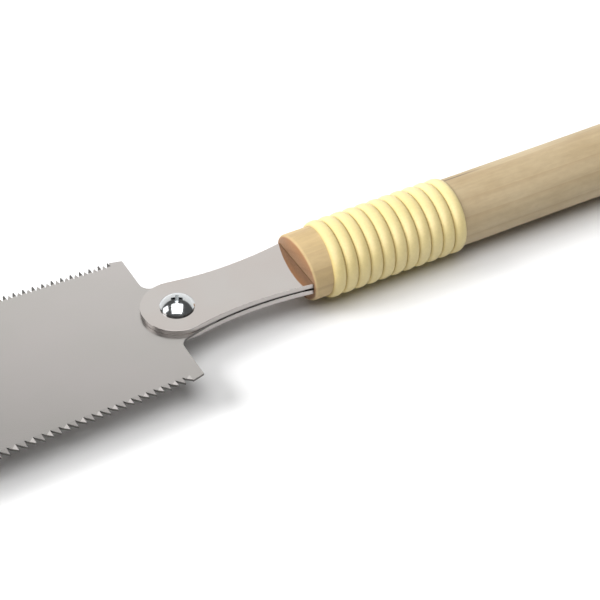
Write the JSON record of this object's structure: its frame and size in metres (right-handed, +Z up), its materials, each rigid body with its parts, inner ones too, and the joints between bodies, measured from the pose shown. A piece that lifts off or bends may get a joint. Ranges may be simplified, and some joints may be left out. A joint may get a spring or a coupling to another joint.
{
  "type": "double-edged pull saw",
  "caption": "Hand saw with a thin double-edged blade clamped between two steel neck plates and a straight wooden handle with a cord-wound front.",
  "frame": {"origin": "middle of the saw's footprint, on the surface that it lies on", "axes": "+X along the saw towards the handle's butt, +Y towards the crosscut edge, +Z up, square to the blade"},
  "size_m": [0.6052, 0.076, 0.0209],
  "materials": {
    "blade_steel": "satin ground sheet steel",
    "plate_steel": "polished stainless steel",
    "bright_screw": "bright plated",
    "pale_wood": "clear satin lacquer",
    "cream_cord": "semi-gloss plastic-coated cord"
  },
  "bodies": {
    "grip": {"handle": "pale_wood", "cord_winding": "cream_cord", "upper_neck_plate": "plate_steel", "lower_neck_plate": "plate_steel", "neck_spacer": "plate_steel", "handle_pins": "plate_steel", "clamp_nut": "bright_screw"},
    "saw_blade": {"blade": "blade_steel"},
    "screw": {"clamp_screw": "bright_screw"}
  },
  "joints": [
    {"name": "blade_slide", "type": "slide", "parent": "grip", "child": "saw_blade", "axis": [-1, 0, 0], "range_m": [0, 0.052]},
    {"name": "screw_turn", "type": "hinge", "parent": "grip", "child": "screw", "pos_m": [-0.0576, 0, 0.01043], "axis": [0, 0, 1], "continuous": true}
  ]
}
